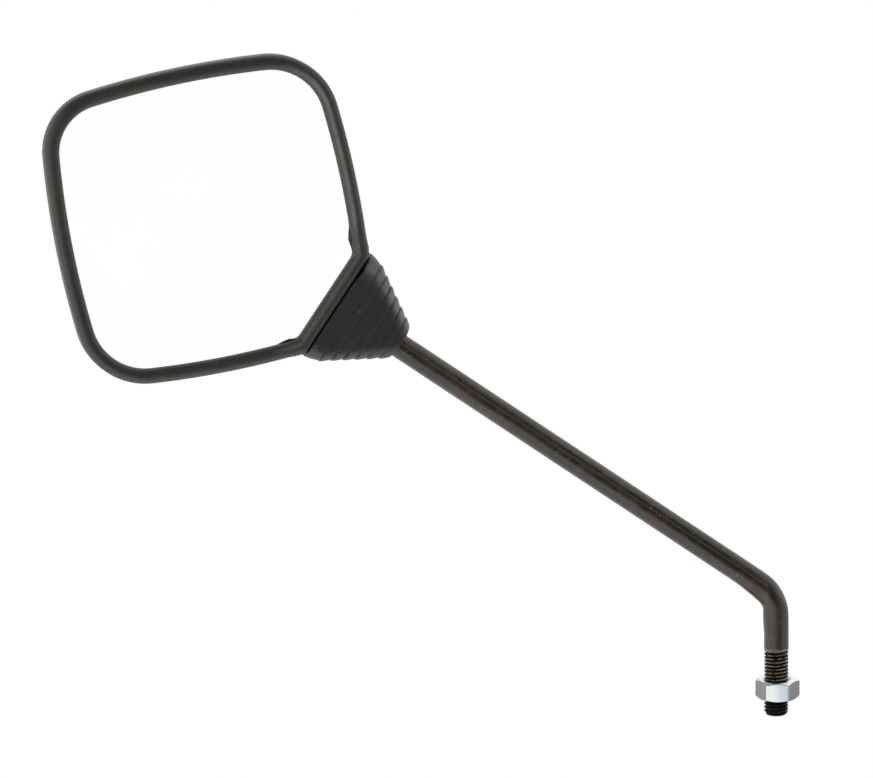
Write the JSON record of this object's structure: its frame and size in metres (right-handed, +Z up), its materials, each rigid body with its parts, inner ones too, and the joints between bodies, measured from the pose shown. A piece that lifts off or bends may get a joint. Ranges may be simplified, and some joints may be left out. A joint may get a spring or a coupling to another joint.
{
  "type": "motorcycle mirror",
  "caption": "Square rear-view mirror with one corner cut off, on a ball joint under a stepped rubber boot, with a bent rod that ends in a metric stud and lock nut.",
  "frame": {"origin": "middle of the stud's tip", "axes": "+Z up along the stud, -X the way the arm reaches, -Y towards the rider, whom the glass faces"},
  "size_m": [0.3072, 0.0566, 0.2775],
  "materials": {
    "rod_paint": "satin black paint",
    "joint_steel": "ground steel, greased",
    "zinc": "bright zinc plating",
    "bracket_steel": "pressed sheet, zinc plated",
    "seat_plastic": "natural acetal",
    "housing_plastic": "fine grained, black",
    "foam": "open-cell foam",
    "mirror": "silvered float glass",
    "trim_rubber": "matte black, slightly grained",
    "boot_rubber": "satin black, dusty"
  },
  "bodies": {
    "stem": {"stem_rod": "rod_paint", "stem_ball": "joint_steel"},
    "nut": {"lock_nut": "zinc"},
    "boot": {"boot": "boot_rubber"},
    "seats": {"ball_seat_front": "seat_plastic", "ball_seat_rear": "seat_plastic"},
    "head": {"housing_shell": "housing_plastic", "foam_pad": "foam", "mirror_glass": "mirror", "edge_trim": "trim_rubber", "clamp_plate": "bracket_steel", "clamp_bracket": "bracket_steel", "clamp_screws": "zinc", "clamp_washers": "zinc", "spring_washers": "zinc", "clamp_nuts": "zinc", "bracket_washers": "zinc", "bracket_screws": "zinc"}
  },
  "joints": [
    {"name": "nut_travel", "type": "slide", "parent": "stem", "child": "nut", "axis": [0, 0, 1], "range_m": [-0.007, 0.012]},
    {"name": "head_roll", "type": "hinge", "parent": "stem", "child": "boot", "pos_m": [-0.17143, 0, 0.16833], "axis": [-0.8241, 0, 0.5664], "continuous": true},
    {"name": "head_tilt", "type": "hinge", "parent": "boot", "child": "seats", "pos_m": [-0.17143, 0, 0.16833], "axis": [-0.551, -0.2317, -0.8017], "range_deg": [-15, 15], "deforming": ["boot"]},
    {"name": "head_pan", "type": "hinge", "parent": "seats", "child": "head", "pos_m": [-0.17143, 0, 0.16833], "axis": [0.1313, -0.9728, 0.191], "range_deg": [-15, 15], "deforming": ["boot"]}
  ]
}
